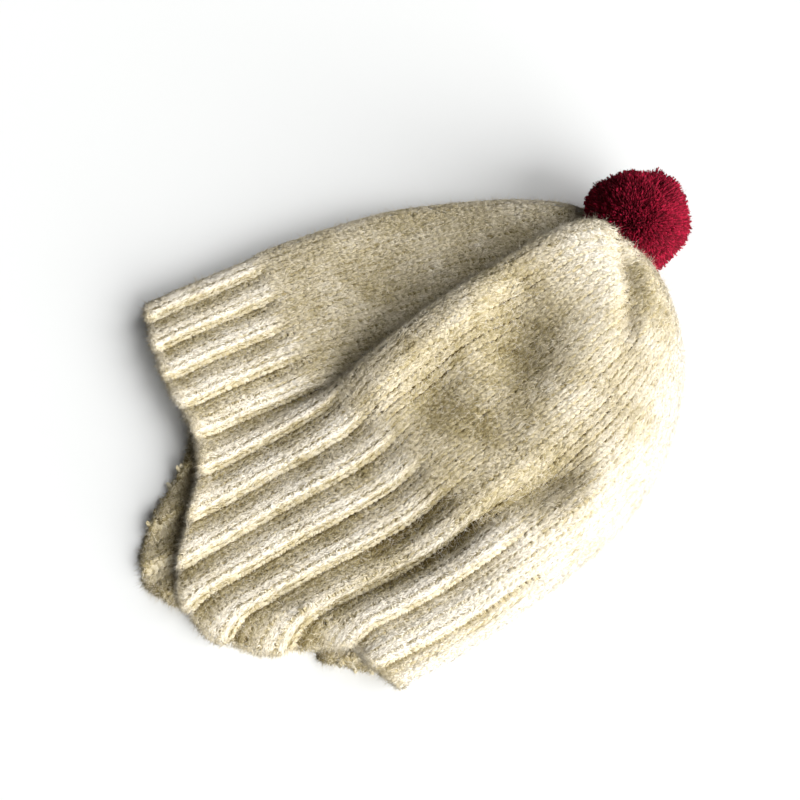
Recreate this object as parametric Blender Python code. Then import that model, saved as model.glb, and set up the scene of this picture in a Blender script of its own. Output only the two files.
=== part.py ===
"""Knitted earflap hat lying on its side: a ribbed band with two earflaps, a plain crown, a pompom.

Metres, +Z up, lying on a surface at z = 0. +X runs from the brim to the crown's end, +Y to the
front of the hat, and the origin is on the flat underside. The fabric is one surface, lofted
through the sections of SECTIONS and followed by the wales, the columns of stitches. The band
and the crown are two stretches of it, each with a wall.
"""
import math

import bmesh
import bpy
import numpy as np
from mathutils import Quaternion, Vector
from mathutils.bvhtree import BVHTree

# Driving dimensions
BRIM_WIDTH = 0.200
CROWN_LENGTH = 0.184
BAND_HEIGHT = 0.060
FLAP_LENGTH = 0.0535
HEAP_HEIGHT = 0.045
WALL = 0.0036
RIB_DEPTH = 0.0024
RIBS = 27
LAYER_CLEARANCE = 0.001
DROOP_REACH = 0.015
GATHERS = 9
GATHER_DEPTH = 0.0010
POMPOM_DIAMETER = 0.046
POMPOM_SINK = 0.0095
LOCK_DEPTH = 0.0034
LOCK_UNEVEN = 0.0010
SEAM_GAP = 0.0004
GAP = 0.0003

# How finely the pieces are drawn
WALES_PER_RIB = 4
WALES = RIBS * WALES_PER_RIB
FINE_PER_WALE = 4
FINE_PER_SECTION = 12
SAMPLES_PER_POINT = 6
BAND_ROWS = 8
CROWN_ROWS = 12
LOCK_LEVELS = 3
LOCK_SEED = 4
LOCK_RAYS = 8

# The upper layer's middle where its ribs lie straight on the lower layer, the way down from
# there to plain knit lying on plain knit, and the way down to the floor past the lower layer
LAYER_HEIGHT = 1.5 * WALL + 2 * RIB_DEPTH + LAYER_CLEARANCE
VALLEY_DROP = 2 * RIB_DEPTH
FLAP_DROOP = LAYER_HEIGHT - WALL / 2 - RIB_DEPTH / 2

# Where the origin lies under the crown, as a share of CROWN_LENGTH
ORIGIN_ALONG = 0.60

# Sections across the hat, from beyond the flaps to the crown's end. along is a share of
# CROWN_LENGTH, or of FLAP_LENGTH where it is negative. front, back, valley_at and crest_at are
# shares of half the BRIM_WIDTH. The others are heights of the fabric's middle: 0 is
# LAYER_HEIGHT, 1 is HEAP_HEIGHT and -1 is VALLEY_DROP lower, but under is a share of HEAP_HEIGHT.
SECTION_COLUMNS = ("along", "front", "back", "under", "plateau", "valley_at", "valley",
                   "crest_at", "crest", "face", "shoulder")
SECTIONS = (
    (-1.30, 0.980, -0.980, 0.00, 0.01, 0.34, 0.01, 0.16, 0.01, 0.01, 0.00),
    (-0.80, 0.980, -0.980, 0.00, 0.02, 0.34, 0.02, 0.16, 0.02, 0.02, 0.00),
    (-0.38, 0.980, -0.980, 0.00, 0.06, 0.32, 0.02, 0.16, 0.03, 0.03, 0.02),
    (0.016, 0.980, -0.980, 0.00, 0.11, 0.30, 0.01, 0.14, 0.06, 0.08, 0.12),
    (0.130, 0.965, -0.995, 0.00, 0.12, 0.28, -0.14, 0.12, 0.18, 0.20, 0.24),
    (0.234, 0.945, -0.995, 0.00, 0.15, 0.28, -0.50, 0.12, 0.42, 0.40, 0.43),
    (0.326, 0.925, -0.985, 0.00, 0.18, 0.29, -1.00, 0.14, 0.77, 0.62, 0.63),
    (0.446, 0.885, -0.960, 0.00, 0.21, 0.31, -1.20, 0.17, 0.94, 0.73, 0.71),
    (0.598, 0.820, -0.910, 0.00, 0.24, 0.34, -1.20, 0.20, 1.00, 0.75, 0.75),
    (0.745, 0.715, -0.795, 0.00, 0.24, 0.35, -1.00, 0.23, 1.00, 0.78, 0.75),
    (0.864, 0.585, -0.630, 0.01, 0.27, 0.34, -0.55, 0.22, 0.97, 0.80, 0.70),
    (0.951, 0.450, -0.450, 0.06, 0.32, 0.28, 0.27, 0.19, 0.82, 0.77, 0.63),
    (0.990, 0.295, -0.240, 0.18, 0.42, 0.19, 0.48, 0.14, 0.60, 0.62, 0.53),
    (1.000, 0.110, 0.110, 0.51, 0.36, 0.11, 0.36, 0.11, 0.36, 0.36, 0.36),
)

# Edges of the two layers at the brim, from the front fold (0) to the back fold (1) across, and
# how far each reaches past the brim line as a share of FLAP_LENGTH
UPPER_EDGE = ((0.00, 0.05), (0.10, 0.17), (0.22, 0.24), (0.35, 0.25), (0.42, 0.35), (0.53, 0.71),
              (0.60, 0.91), (0.66, 0.95), (0.72, 0.83), (0.79, 0.52), (0.85, 0.13), (0.91, 0.01),
              (1.00, -0.11))
LOWER_EDGE = ((0.00, 0.05), (0.20, 0.15), (0.31, 0.25), (0.37, 0.42), (0.43, 0.76), (0.50, 1.03),
              (0.57, 1.10), (0.63, 0.96), (0.68, 0.62), (0.75, 0.24), (0.82, 0.10), (0.87, 0.26),
              (0.92, 0.09), (1.00, -0.11))

# How far the upper flap hangs past the lower one, as a share of FLAP_DROOP, from the front fold
# (0) to the back fold (1), and how far it swings to the back as it hangs
DROOP = ((0.00, 0.00), (0.56, 0.00), (0.63, 0.25), (0.72, 1.00), (0.82, 1.00), (0.88, 0.45),
         (0.94, 0.10), (1.00, 0.00))
DROOP_TO_BACK = 0.6

# Where the ribs end, as a share of BAND_HEIGHT, from the front fold (0) to the back fold (1)
RIB_END = ((0.00, 0.87), (0.12, 0.83), (0.20, 0.74), (0.34, 0.72), (0.45, 0.82), (0.60, 0.98),
           (0.72, 1.03), (0.85, 1.20), (1.00, 1.25))
RIB_FADE = 0.18

# One rib from groove to groove: a purl recess that rises to a knit ridge, and a steep foot.
# RIB_START is where the first groove lies, in ribs before the front fold.
RIB_PROFILE = ((0.00, 1.00), (0.25, 0.78), (0.50, 0.12), (0.75, 0.00), (1.00, 1.00))
RIB_START = 0.15

# Soft dents in the upper layer: along, across, length, width, turn and depth. along is a share
# of CROWN_LENGTH, depth of HEAP_HEIGHT, and across, length and width are shares of half the
# BRIM_WIDTH. turn is in degrees from +X.
DENTS = (
    (0.64, -0.25, 0.24, 0.15, 71, 0.14),
    (0.43, -0.17, 0.20, 0.10, 23, 0.10),
    (0.57, -0.70, 0.18, 0.08, 13, 0.12),
    (0.95, -0.08, 0.11, 0.045, 72, 0.11),
    (0.88, -0.27, 0.12, 0.045, 46, 0.10),
)

# Pleats at the gathered end start at this share of CROWN_LENGTH and are deepest at this share
# of the pompom's radius from the end's middle. The wall is thinned inside the end, and inside a
# tight fold to this share of the room that it has there.
END_START = 0.9
GATHER_REACH = 0.5
END_PRESS = 0.5
FOLD_ROOM = 0.6

# The pompom hangs off the crown's end, turned to the front and a little below level. Its locks
# narrow to their tips by this share of their depth, and keep clear of the crown within this
# share of their reach to each side.
POMPOM_TURN = math.radians(33)
POMPOM_DIP = math.radians(2)
LOCK_TAPER = 0.35
LOCK_SPREAD = 0.12

HALF_WIDTH = BRIM_WIDTH / 2
POMPOM_RADIUS = POMPOM_DIAMETER / 2


def smooth_rows(rows, at):
    """Rows of a table at fractional row numbers, on a Catmull-Rom curve through the rows."""
    last = len(rows) - 1
    start = np.clip(np.floor(at).astype(int), 0, last - 1)
    share = (at - start)[:, None]
    before = rows[np.maximum(start - 1, 0)]
    first = rows[start]
    second = rows[start + 1]
    after = rows[np.minimum(start + 2, last)]
    slope = (second - before) * share
    bend = (2 * before - 5 * first + 4 * second - after) * share ** 2
    twist = (3 * first - before - 3 * second + after) * share ** 3
    return first + 0.5 * (slope + bend + twist)


def smooth_value(table, at):
    """The second column of a two-column table, read along a smooth curve through its rows."""
    place, value = np.array(table).T
    step = np.diff(place)
    rise = np.diff(value) / step
    middle = (rise[:-1] * step[1:] + rise[1:] * step[:-1]) / (step[1:] + step[:-1])
    tangent = np.concatenate((rise[:1], middle, rise[-1:]))
    row = np.clip(np.searchsorted(place, at, side="right") - 1, 0, len(step) - 1)
    share = (at - place[row]) / step[row]
    return (
        value[row] * (2 * share ** 3 - 3 * share ** 2 + 1)
        + tangent[row] * step[row] * (share ** 3 - 2 * share ** 2 + share)
        + value[row + 1] * (3 * share ** 2 - 2 * share ** 3)
        + tangent[row + 1] * step[row] * (share ** 3 - share ** 2)
    )


def smooth_step(share):
    """0 below 0, 1 above 1, and a smooth rise between."""
    share = np.clip(share, 0, 1)
    return share * share * (3 - 2 * share)


def section_rows():
    """SECTIONS in metres, with more rows between on a smooth curve."""
    rows = np.array(SECTIONS)
    column = {name: number for number, name in enumerate(SECTION_COLUMNS)}
    along = rows[:, column["along"]]
    rows[:, column["along"]] = np.where(along < 0, along * FLAP_LENGTH, along * CROWN_LENGTH)
    for name in ("front", "back", "valley_at", "crest_at"):
        rows[:, column[name]] *= HALF_WIDTH
    for name in ("plateau", "valley", "crest", "face", "shoulder"):
        share = rows[:, column[name]]
        scale = np.where(share < 0, VALLEY_DROP, HEAP_HEIGHT - LAYER_HEIGHT)
        rows[:, column[name]] = LAYER_HEIGHT + share * scale
    rows[:, column["under"]] = WALL / 2 + rows[:, column["under"]] * HEAP_HEIGHT
    last = len(SECTIONS) - 1
    rows = smooth_rows(rows, np.linspace(0, last, last * FINE_PER_SECTION + 1))
    rows[:, column["under"]] = np.maximum(rows[:, column["under"]], WALL / 2)
    return rows


def section_cage(row):
    """Cage points (y, z) of one section, from the front fold over the top to the back and under."""
    along, front, back, under, plateau, valley_at, valley, crest_at, crest, face, shoulder = row
    width = front - back
    flat = front - valley_at
    front_fold = plateau - under
    back_fold = shoulder - under
    cage = (
        (front + 0.125 * front_fold, (plateau + under) / 2),
        (front - 0.250 * front_fold, plateau),
        (front - 0.50 * flat, plateau + 0.01 * flat),
        (front - 0.82 * flat, 0.9 * plateau + 0.1 * valley),
        (valley_at, valley),
        (0.45 * valley_at + 0.55 * crest_at, 0.45 * valley + 0.55 * crest),
        (crest_at, crest),
        (crest_at - 0.110 * width, (crest + face) / 2 + 0.005 * width),
        ((crest_at + back) / 2, face),
        (back + 0.150 * width, shoulder + 0.0075 * width),
        (back + 0.240 * back_fold, 0.82 * shoulder + 0.18 * under),
        (back - 0.125 * back_fold, 0.38 * shoulder + 0.62 * under),
        (back + 0.220 * back_fold, under),
        (back + 0.130 * width, under),
        ((front + back) / 2, under),
        (front - 0.130 * width, under),
        (front - 0.250 * front_fold, under),
    )
    return np.array(cage)


BACK_CAGE_POINT = 11


def cage_curve(cage, at):
    """Points at fractional places round a closed uniform B-spline on the cage."""
    count = len(cage)
    start = np.floor(at).astype(int)
    share = (at - start)[:, None]
    return (
        (1 - share) ** 3 * cage[(start - 1) % count]
        + (3 * share ** 3 - 6 * share ** 2 + 4) * cage[start % count]
        + (1 + 3 * share + 3 * share ** 2 - 3 * share ** 3) * cage[(start + 1) % count]
        + share ** 3 * cage[(start + 2) % count]
    ) / 6


def evenly_spaced(points, count):
    """Points at equal steps along a polyline, without its last point."""
    step = np.linalg.norm(np.diff(points, axis=0), axis=1)
    length = np.concatenate(([0.0], np.cumsum(step)))
    at = np.linspace(0, length[-1], count + 1)[:-1]
    return np.column_stack([np.interp(at, length, points[:, axis]) for axis in range(2)])


def section_ring(row, count):
    """One closed section: half of its points on the upper layer, half on the lower."""
    cage = section_cage(row)
    samples = SAMPLES_PER_POINT * count
    upper = cage_curve(cage, np.linspace(0, BACK_CAGE_POINT, samples))
    lower = cage_curve(cage, np.linspace(BACK_CAGE_POINT, len(cage), samples))
    ring = np.vstack((evenly_spaced(upper, count // 2), evenly_spaced(lower, count // 2)))
    return np.column_stack((np.full(count, row[0]), ring))


def surface_normals(grid):
    """Outward unit normals of a grid of rows by columns that closes on itself round the columns."""
    across = np.roll(grid, -1, axis=1) - np.roll(grid, 1, axis=1)
    along = np.gradient(grid, axis=0)
    normal = np.cross(across, along)
    normal[-1] = (1.0, 0.0, 0.0)
    return normal / np.linalg.norm(normal, axis=2, keepdims=True)


def near_end(grid):
    """1 at the crown's gathered end and 0 away from it."""
    return smooth_step((grid[:, :, 0] / CROWN_LENGTH - END_START) / (1 - END_START))


def dent_depth(grid):
    """How far the soft dents press each point of the grid in."""
    depth = np.zeros(grid.shape[:2])
    for along, across, length, width, turn, deep in DENTS:
        angle = math.radians(turn)
        x = grid[:, :, 0] - along * CROWN_LENGTH
        y = grid[:, :, 1] - across * HALF_WIDTH
        long_way = (x * math.cos(angle) + y * math.sin(angle)) / (length * HALF_WIDTH)
        short_way = (y * math.cos(angle) - x * math.sin(angle)) / (width * HALF_WIDTH)
        depth += deep * HEAP_HEIGHT * np.exp(-long_way ** 2 - short_way ** 2)
    return depth


def gather_depth(grid):
    """Small pleats round the crown's end, where the last stitches are drawn together."""
    pole = grid[-1, 0]
    y = grid[:, :, 1] - pole[1]
    z = grid[:, :, 2] - pole[2]
    away = np.hypot(y, z) / (GATHER_REACH * POMPOM_RADIUS)
    pleat = 0.5 - 0.5 * np.cos(GATHERS * np.arctan2(z, y))
    return GATHER_DEPTH * pleat * near_end(grid) * away * np.exp(1 - away)


def across_share(wale):
    """Where a wale lies across its own layer: 0 at the front fold, 1 at the back fold."""
    layer = WALES / 2
    return np.where(wale <= layer, wale, 2 * layer - wale) / layer


def edge_reach(wale):
    """x of the knitted edge at each wale."""
    share = across_share(wale)
    upper = smooth_value(UPPER_EDGE, share)
    lower = smooth_value(LOWER_EDGE, share)
    return -FLAP_LENGTH * np.where(wale <= WALES / 2, upper, lower)


def flap_droop(grid, wale):
    """How far the upper layer's free edge hangs down past the lower layer."""
    part = np.where(wale <= WALES / 2, smooth_value(DROOP, across_share(wale)), 0)
    to_edge = np.clip((grid[:, :, 0] - edge_reach(wale)) / DROOP_REACH, -0.2, 1)
    return FLAP_DROOP * part * (1 - to_edge) ** 2


def fabric():
    """The fabric's middle surface, its normals and the wale of each column, rows along the hat."""
    fine = WALES * FINE_PER_WALE
    wale = np.arange(fine) / FINE_PER_WALE
    grid = np.array([section_ring(row, fine) for row in section_rows()])
    press = dent_depth(grid) * (wale <= WALES / 2) + gather_depth(grid)
    grid = grid - press[:, :, None] * surface_normals(grid)
    droop = flap_droop(grid, wale)
    grid[:, :, 1] -= DROOP_TO_BACK * droop
    grid[:, :, 2] -= droop
    grid[-1] = grid[-1].mean(axis=0)
    place = (np.arange(WALES) - RIB_START * WALES_PER_RIB) * FINE_PER_WALE
    middle = columns_at(grid, place)
    normals = columns_at(surface_normals(grid), place)
    return middle, normals, np.mod(place / FINE_PER_WALE, WALES)


def columns_at(grid, place):
    """Columns of a closed grid at fractional column numbers."""
    start = np.floor(place).astype(int)
    share = (place - start)[None, :, None]
    count = grid.shape[1]
    return (1 - share) * grid[:, start % count] + share * grid[:, (start + 1) % count]


def room_along(place, way):
    """How far each point of a grid can move its way before it meets its neighbours on theirs."""
    room = np.full(place.shape[:2], np.inf)
    every = slice(None)
    neighbours = (
        ((every, every), (every, np.arange(1, WALES + 1) % WALES)),
        ((slice(1, None), every), (slice(None, -1), every)),
    )
    for one, other in neighbours:
        chord = place[other] - place[one]
        closing = ((way[one] - way[other]) * chord).sum(axis=2)
        meet = (chord ** 2).sum(axis=2) / np.maximum(closing, 1e-9)
        room[one] = np.minimum(room[one], meet)
        room[other] = np.minimum(room[other], meet)
    return room


def follow(column, at):
    """Points and normals along one wale at the given lengths from its start."""
    points, normals, length = column
    place = np.column_stack([np.interp(at, length, points[:, axis]) for axis in range(3)])
    direction = np.column_stack([np.interp(at, length, normals[:, axis]) for axis in range(3)])
    return place, direction / np.linalg.norm(direction, axis=1, keepdims=True)


def length_at(column, x):
    """Length along a wale where it first reaches x."""
    points, normals, length = column
    end = int(np.argmax(points[:, 0])) + 1
    return float(np.interp(x, points[:end, 0], length[:end]))


def stretch(columns, start, end, count):
    """Rows of points and normals on one stretch of every wale."""
    wales = [follow(column, np.linspace(first, last, count))
             for column, first, last in zip(columns, start, end)]
    return np.array(wales).transpose(1, 2, 0, 3)


def rib_recess(x, stop):
    """How deep each wale of the band lies below the ridges, at each x."""
    phase, depth = np.array(RIB_PROFILE).T
    in_rib = (np.arange(WALES) % WALES_PER_RIB) / WALES_PER_RIB
    deep = RIB_DEPTH * np.interp(in_rib, phase, depth)
    return deep * smooth_step((stop - x) / (RIB_FADE * BAND_HEIGHT))


def wall_rows(middle, recess):
    """Outer and inner rows of the knit round its middle rows, both sunk by the recess."""
    place, out = middle
    outward = np.minimum(WALL / 2 - recess, FOLD_ROOM * room_along(place, out))
    inward = np.minimum(WALL / 2 + recess, FOLD_ROOM * room_along(place, -out))
    inward = inward * (1 - END_PRESS * near_end(place))
    return place + out * outward[:, :, None], place - out * inward[:, :, None]


def knitted_rows(points, normals, wales):
    """Outer and inner rows of points for the band and for the crown."""
    columns = []
    for number in range(WALES):
        step = np.linalg.norm(np.diff(points[:, number], axis=0), axis=1)
        length = np.concatenate(([0.0], np.cumsum(step)))
        columns.append((points[:, number], normals[:, number], length))
    rib_stop = BAND_HEIGHT * smooth_value(RIB_END, across_share(wales))
    edge = np.array([length_at(column, x) for column, x in zip(columns, edge_reach(wales))])
    seam = np.array([length_at(column, x) for column, x in zip(columns, rib_stop)])
    end = np.array([length[-1] for _, _, length in columns])
    band = stretch(columns, edge, seam - SEAM_GAP / 2, BAND_ROWS)
    crown = stretch(columns, seam + SEAM_GAP / 2, end, CROWN_ROWS)
    recess = rib_recess(band[0][:, :, 0], rib_stop)
    return wall_rows(band, recess), wall_rows(crown, np.zeros((CROWN_ROWS, WALES)))


def join_rows(bm, first, second):
    """Faces between two rows of vertices, or between a row and a single vertex."""
    count = max(len(first), len(second))
    for number in range(count):
        after = (number + 1) % count
        corners = [first[number % len(first)]]
        if len(first) > 1:
            corners.append(first[after])
        if len(second) > 1:
            corners.append(second[after])
        corners.append(second[number % len(second)])
        bm.faces.new(corners)


def open_wall(name, outer, inner):
    """A knitted wall that is open at both ends, from its outer and inner rows."""
    bm = bmesh.new()
    loops = [[bm.verts.new(point) for point in row] for row in (*outer, *inner[::-1])]
    for first, second in zip(loops, loops[1:] + loops[:1]):
        join_rows(bm, first, second)
    return mesh_object(name, bm)


def closed_wall(name, outer, inner):
    """A knitted wall whose last rows are drawn together in one point each."""
    bm = bmesh.new()
    rows = (*outer[:-1], outer[-1][:1], inner[-1][:1], *inner[-2::-1])
    loops = [[bm.verts.new(point) for point in row] for row in rows]
    for first, second in zip(loops, loops[1:] + loops[:1]):
        if len(first) + len(second) > 2:
            join_rows(bm, first, second)
    return mesh_object(name, bm)


def mesh_object(name, bm):
    """An object from a finished bmesh, with its faces turned out."""
    bmesh.ops.recalc_face_normals(bm, faces=bm.faces)
    mesh = bpy.data.meshes.new(name)
    bm.to_mesh(mesh)
    bm.free()
    return bpy.data.objects.new(name, mesh)


def lock_reach(centre, crown_tree, direction):
    """How far a lock can reach from the pompom's middle: to its size, the floor or the crown."""
    reach = POMPOM_RADIUS
    if direction.z < 0:
        reach = min(reach, -centre.z / direction.z)
    side = direction.orthogonal()
    rays = [direction]
    for step in range(LOCK_RAYS):
        turned = Quaternion(direction, math.tau * step / LOCK_RAYS) @ side
        rays.append((direction + turned * LOCK_SPREAD).normalized())
    for ray in rays:
        distance = crown_tree.ray_cast(centre, ray)[3]
        if distance is not None:
            reach = min(reach, distance - GAP)
    return reach


def pompom_object(name, pole, crown):
    """A round head of yarn in blunt locks, pressed flat on the floor and on the crown's end."""
    tree = BVHTree.FromPolygons([v.co for v in crown.data.vertices],
                                [p.vertices for p in crown.data.polygons])
    away = Vector((math.cos(POMPOM_TURN) * math.cos(POMPOM_DIP),
                   math.sin(POMPOM_TURN) * math.cos(POMPOM_DIP), -math.sin(POMPOM_DIP)))
    centre = Vector(pole) + away * (WALL / 2 + POMPOM_RADIUS - POMPOM_SINK)
    centre.z = min(centre.z, POMPOM_RADIUS)
    uneven = np.random.default_rng(LOCK_SEED)
    bm = bmesh.new()
    bmesh.ops.create_icosphere(bm, subdivisions=LOCK_LEVELS, radius=POMPOM_RADIUS)
    for vertex in bm.verts:
        vertex.co += Vector(uneven.uniform(-LOCK_UNEVEN, LOCK_UNEVEN, 3))
    roots = set(bm.verts)
    bmesh.ops.inset_individual(bm, faces=bm.faces, thickness=LOCK_TAPER * LOCK_DEPTH)
    for vertex in bm.verts:
        direction = vertex.co.normalized()
        reach = lock_reach(centre, tree, direction) - uneven.uniform(0, LOCK_UNEVEN)
        if vertex in roots:
            reach -= LOCK_DEPTH
        vertex.co = centre + direction * reach
    return mesh_object(name, bm)


def wool(name, colour, roughness):
    """Plain wool yarn in one colour."""
    material = bpy.data.materials.new(name)
    material.use_nodes = True
    shader = material.node_tree.nodes["Principled BSDF"]
    shader.inputs["Base Color"].default_value = (*colour, 1.0)
    shader.inputs["Roughness"].default_value = roughness
    shader.inputs["Metallic"].default_value = 0.0
    return material


def build():
    """The hat's three pieces, in a collection of their own."""
    for old in list(bpy.data.objects):
        bpy.data.objects.remove(old, do_unlink=True)
    hat = bpy.data.collections.new("earflap_hat")
    bpy.context.scene.collection.children.link(hat)
    points, normals, wales = fabric()
    band_rows, crown_rows = knitted_rows(points, normals, wales)
    band = open_wall("ribbed_band", *band_rows)
    crown = closed_wall("crown", *crown_rows)
    pompom = pompom_object("pompom", points[-1, 0], crown)
    cream = (0.76, 0.68, 0.52)
    crimson = (0.22, 0.01, 0.03)
    band.data.materials.append(wool("rib_knit_wool", cream, 0.95))
    crown.data.materials.append(wool("plain_knit_wool", cream, 0.95))
    pompom.data.materials.append(wool("cut_pile_wool", crimson, 0.9))
    for piece in (band, crown, pompom):
        piece.location.x = -ORIGIN_ALONG * CROWN_LENGTH
        piece.data.shade_smooth()
        hat.objects.link(piece)


build()
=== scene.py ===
"""A child's knitted earflap hat lying on its side: cream brushed wool, with a crimson pompom."""
import math

import bmesh
import bpy
import numpy as np
from mathutils import Matrix, Vector, noise
from mathutils.bvhtree import BVHTree


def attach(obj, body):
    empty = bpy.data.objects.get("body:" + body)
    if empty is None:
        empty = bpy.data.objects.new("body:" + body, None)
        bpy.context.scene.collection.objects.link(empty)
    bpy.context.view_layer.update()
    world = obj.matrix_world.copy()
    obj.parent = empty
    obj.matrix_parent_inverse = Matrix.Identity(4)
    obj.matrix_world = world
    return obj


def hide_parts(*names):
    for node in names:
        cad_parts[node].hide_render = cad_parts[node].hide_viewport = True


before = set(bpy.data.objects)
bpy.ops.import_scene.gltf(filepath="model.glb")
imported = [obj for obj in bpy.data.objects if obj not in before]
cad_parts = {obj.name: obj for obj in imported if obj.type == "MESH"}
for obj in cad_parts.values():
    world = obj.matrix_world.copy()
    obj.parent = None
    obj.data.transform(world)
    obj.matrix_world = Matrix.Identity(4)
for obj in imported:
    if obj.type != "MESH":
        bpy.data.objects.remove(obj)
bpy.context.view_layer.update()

# Ribbed band with its two earflaps: the start of the hat, knitted in the round from the brim in
# rib, with the flaps shaped in it by short rows. Thick carded wool, brushed after knitting.
BRIM_WIDTH = 0.200
CROWN_LENGTH = 0.184
BAND_HEIGHT = 0.060
FLAP_LENGTH = 0.0535
HEAP_HEIGHT = 0.045
WALL = 0.0036
RIB_DEPTH = 0.0024
RIBS, RIB_WALES = 27, 4
WALES = RIB_WALES * RIBS
PER_WALE = 4
COLUMNS = PER_WALE * WALES
HALF_WIDTH = BRIM_WIDTH / 2
BETWEEN_LAYERS = 0.001
LAYER_HEIGHT = 1.5 * WALL + 2 * RIB_DEPTH + BETWEEN_LAYERS
VALLEY_DROP = 2 * RIB_DEPTH
FLAP_DROOP = LAYER_HEIGHT - WALL / 2 - RIB_DEPTH / 2
DROOP_REACH = 0.015
ORIGIN_X = 0.60 * CROWN_LENGTH
PLEATS, PLEAT_DEPTH = 9, 0.001
POMPOM_RADIUS = 0.023

# Sections across the hat: along, front, back, under, plateau, valley_at, valley, crest_at,
# crest, face and shoulder, as shares of the sizes above. Under counts from the table, and the
# other heights from the flat upper layer's, down into the valley where they are negative.
SECTIONS = (
    (-1.30, 0.980, -0.980, 0.00, 0.01, 0.34, 0.01, 0.16, 0.01, 0.01, 0.00),
    (-0.80, 0.980, -0.980, 0.00, 0.02, 0.34, 0.02, 0.16, 0.02, 0.02, 0.00),
    (-0.38, 0.980, -0.980, 0.00, 0.06, 0.32, 0.02, 0.16, 0.03, 0.03, 0.02),
    (0.016, 0.980, -0.980, 0.00, 0.11, 0.30, 0.01, 0.14, 0.06, 0.08, 0.12),
    (0.130, 0.965, -0.995, 0.00, 0.12, 0.28, -0.14, 0.12, 0.18, 0.20, 0.24),
    (0.234, 0.945, -0.995, 0.00, 0.15, 0.22, -0.15, 0.15, 0.33, 0.33, 0.40),
    (0.326, 0.925, -0.985, 0.00, 0.18, 0.235, -0.80, 0.175, 0.60, 0.54, 0.59),
    (0.446, 0.885, -0.960, 0.00, 0.21, 0.265, -1.20, 0.20, 0.84, 0.69, 0.69),
    (0.598, 0.820, -0.910, 0.00, 0.24, 0.29, -1.25, 0.215, 1.00, 0.75, 0.75),
    (0.745, 0.715, -0.795, 0.00, 0.24, 0.32, -1.00, 0.23, 1.00, 0.78, 0.75),
    (0.864, 0.585, -0.630, 0.01, 0.27, 0.34, -0.55, 0.22, 0.97, 0.80, 0.70),
    (0.951, 0.450, -0.450, 0.06, 0.32, 0.28, 0.27, 0.19, 0.82, 0.77, 0.63),
    (0.990, 0.295, -0.240, 0.18, 0.42, 0.19, 0.48, 0.14, 0.60, 0.62, 0.53),
    (1.000, 0.110, 0.110, 0.51, 0.36, 0.11, 0.36, 0.11, 0.36, 0.36, 0.36),
)
# From the front fold, 0, to the back fold, 1: how far each layer's edge lies past the brim, in
# flap lengths, the share of the upper flap's droop, and where the ribs end, in band heights.
UPPER_EDGE = ((0.00, 0.05), (0.10, 0.17), (0.22, 0.24), (0.35, 0.25), (0.42, 0.35), (0.53, 0.71),
              (0.60, 0.91), (0.66, 0.95), (0.72, 0.83), (0.79, 0.52), (0.85, 0.13), (0.91, 0.01),
              (0.96, -0.03), (1.00, -0.11))
LOWER_EDGE = ((0.00, 0.05), (0.20, 0.15), (0.31, 0.25), (0.37, 0.42), (0.43, 0.76), (0.50, 1.03),
              (0.57, 1.10), (0.63, 0.96), (0.68, 0.62), (0.75, 0.24), (0.82, 0.10), (0.87, 0.27),
              (0.92, 0.07), (0.96, -0.10), (1.00, -0.12))
DROOP = ((0.00, 0.00), (0.56, 0.00), (0.63, 0.25), (0.72, 1.00), (0.82, 1.00), (0.88, 0.45),
         (0.94, 0.10), (1.00, 0.00))
RIB_END = ((0.00, 0.87), (0.12, 0.83), (0.20, 0.74), (0.34, 0.72), (0.45, 0.82), (0.60, 0.98),
           (0.72, 1.03), (0.85, 1.20), (1.00, 1.25))
# Across a rib, with the line at its foot at 0 and 1: the depth under the ridge, in rib depths,
# and how light the wool is painted: painted light on the ridge, painted shade in the line.
RIB_PROFILE = ((-0.22, 0.05), (-0.11, 0.32), (0.00, 1.30), (0.08, 0.95), (0.25, 0.68),
               (0.42, 0.26), (0.52, 0.04), (0.62, 0.00), (0.78, 0.05), (0.89, 0.32),
               (1.00, 1.30), (1.08, 0.95))
# Painted light on the ridge and painted shade in the deep line at its foot, as tones.
RIB_PAINTED_LIGHT = ((-0.22, 1.15), (-0.12, 0.95), (-0.05, -0.40), (0.01, -1.00), (0.08, -0.40),
            (0.16, 0.12), (0.32, 0.30), (0.42, 0.60), (0.52, 0.92), (0.65, 1.02), (0.78, 1.15),
            (0.88, 0.95), (0.95, -0.40), (1.01, -1.00), (1.08, -0.40))
# Dents in the upper layer: along, across, length, width, turn in degrees, depth (a negative one
# is a bulge) and painted light on the wool, painted shade where it is below 0, as in hollows.
# All but the turn and the last are shares.
DENTS = (
    (0.62, -0.11, 0.23, 0.15, 59, 0.18, -0.50),
    (0.41, -0.08, 0.20, 0.14, 30, 0.17, -0.50),
    (0.46, -0.32, 0.17, 0.12, -60, 0.06, -0.35),
    (0.51, -0.68, 0.15, 0.08, -3, 0.19, -0.75),
    (0.36, -0.65, 0.26, 0.05, 3, 0.08, -0.45),
    (0.52, 0.27, 0.45, 0.05, 2, 0.00, -0.30),
    (0.73, -0.31, 0.43, 0.17, 25, -0.12, 0.20),
    (0.68, 0.07, 0.15, 0.10, 19, 0.06, -0.20),
    (0.56, -0.77, 0.28, 0.10, 18, -0.07, 0.10),
    (0.45, 0.08, 0.34, 0.06, 6, -0.05, 0.20),
    (0.88, 0.05, 0.16, 0.16, 0, -0.05, 0.70),
    (0.22, -0.52, 0.34, 0.07, 4, 0.05, -0.45),
    (0.17, -0.64, 0.32, 0.06, -8, 0.06, -0.45),
    (0.11, -0.21, 0.36, 0.12, 6, -0.03, 0.10),
    (0.66, 0.68, 0.26, 0.09, -12, 0.04, -0.15),
    (0.50, 0.58, 0.16, 0.09, -50, 0.04, -0.12),
    (0.93, -0.06, 0.13, 0.045, 72, 0.13, -0.60),
    (0.86, -0.25, 0.12, 0.045, 56, 0.11, -0.45),
)


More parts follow.
